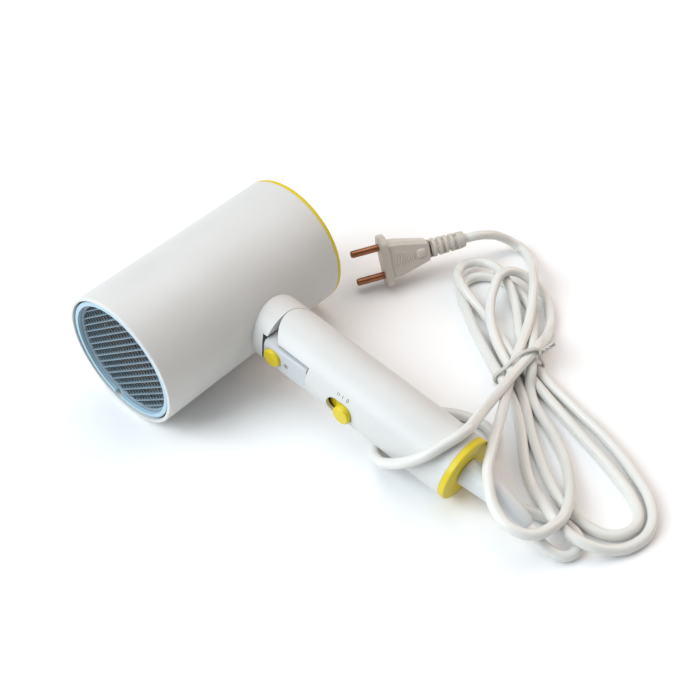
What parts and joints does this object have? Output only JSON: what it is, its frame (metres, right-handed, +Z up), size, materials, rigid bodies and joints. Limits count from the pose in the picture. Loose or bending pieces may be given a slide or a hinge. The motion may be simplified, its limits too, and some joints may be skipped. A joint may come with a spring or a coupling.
{
  "type": "hair dryer",
  "caption": "Folding hair dryer: white barrel with a slotted outlet grille and yellow trim, a handle with a cool button and a slide switch, and a coiled lead with a round-pin plug.",
  "frame": {"origin": "on the ground, in the middle of the dryer's own box (its lead and plug left out), with the dryer lying on its side as it rests", "axes": "+X from the air outlet to the air inlet, along the barrel; +Y from the handle's end to the barrel; +Z up"},
  "size_m": [0.2702, 0.322, 0.085],
  "materials": {
    "white_shell": "satin, fine mould texture",
    "pale_trim": "satin, cool white",
    "grille_black": "matte, heat-resisting",
    "yellow_trim": "satin, warm yellow",
    "filter_steel": "woven mesh",
    "dark_plastic": "matte",
    "impeller_black": "matte",
    "motor_can": "drawn steel can",
    "bright_steel": "ground",
    "board_green": "solder mask",
    "mica": "flaky mica sheet",
    "coil_wire": "resistance wire, dull",
    "thermostat_metal": "stamped",
    "fuse_body": "plated",
    "red_leads": "silicone sleeve",
    "screw_steel": "zinc plated",
    "grey_plastic": "matte",
    "capacitor_box": "moulded box",
    "white_lead": "smooth flexible PVC",
    "white_relief": "smooth flexible PVC",
    "tie_white": "plastic-coated wire",
    "plug_ivory": "matte moulded PVC",
    "pin_brass": "polished brass"
  },
  "bodies": {
    "barrel": {"barrel_shell": "white_shell", "neck": "white_shell", "front_ring": "pale_trim", "outlet_grille": "grille_black", "rear_ring": "yellow_trim", "inlet_cover": "white_shell", "dust_filter": "filter_steel", "fan_housing": "dark_plastic", "motor": "motor_can", "rectifier_board": "board_green", "mica_frame": "mica", "mica_sleeve": "mica", "heater_coils": "coil_wire", "thermostat": "thermostat_metal", "thermal_fuse": "fuse_body", "lead_bundle": "red_leads", "housing_screws": "screw_steel", "neck_screws": "screw_steel", "hinge_plates": "bright_steel", "hinge_screws": "screw_steel"},
    "rotor": {"motor_shaft": "bright_steel", "impeller": "impeller_black"},
    "handle": {"hinge_pin": "bright_steel", "handle_shell": "white_shell", "hinge_lug": "white_shell", "button_panel": "pale_trim", "switch_body": "dark_plastic", "control_board": "board_green", "board_carrier": "grey_plastic", "board_screws": "screw_steel", "capacitor": "capacitor_box", "cord_clamp": "grey_plastic", "clamp_screws": "screw_steel", "supply_lead": "white_lead", "end_cap": "yellow_trim", "strain_relief": "white_relief", "cord": "white_lead", "cord_tie": "tie_white", "plug_body": "plug_ivory", "plug_relief": "plug_ivory", "plug_pins": "pin_brass"},
    "button": {"cool_button": "yellow_trim", "cool_spring": "bright_steel"},
    "knob": {"switch_knob": "yellow_trim"}
  },
  "joints": [
    {"name": "fold_hinge", "type": "hinge", "parent": "barrel", "child": "handle", "pos_m": [0.0125, 0.00173, 0.0336], "axis": [0, 0.1244, -0.9922], "range_deg": [0, 90]},
    {"name": "fan_spin", "type": "hinge", "parent": "barrel", "child": "rotor", "pos_m": [0.055, 0.07268, 0.0425], "axis": [1, 0, 0], "continuous": true},
    {"name": "power_slide", "type": "slide", "parent": "handle", "child": "knob", "axis": [0, 0.9922, 0.1244], "range_m": [0, 0.0068]},
    {"name": "cool_press", "type": "slide", "parent": "handle", "child": "button", "axis": [1, 0, 0], "range_m": [0, 0.0015], "stiffness_N_per_m": 800, "springref_m": -0.0004}
  ]
}
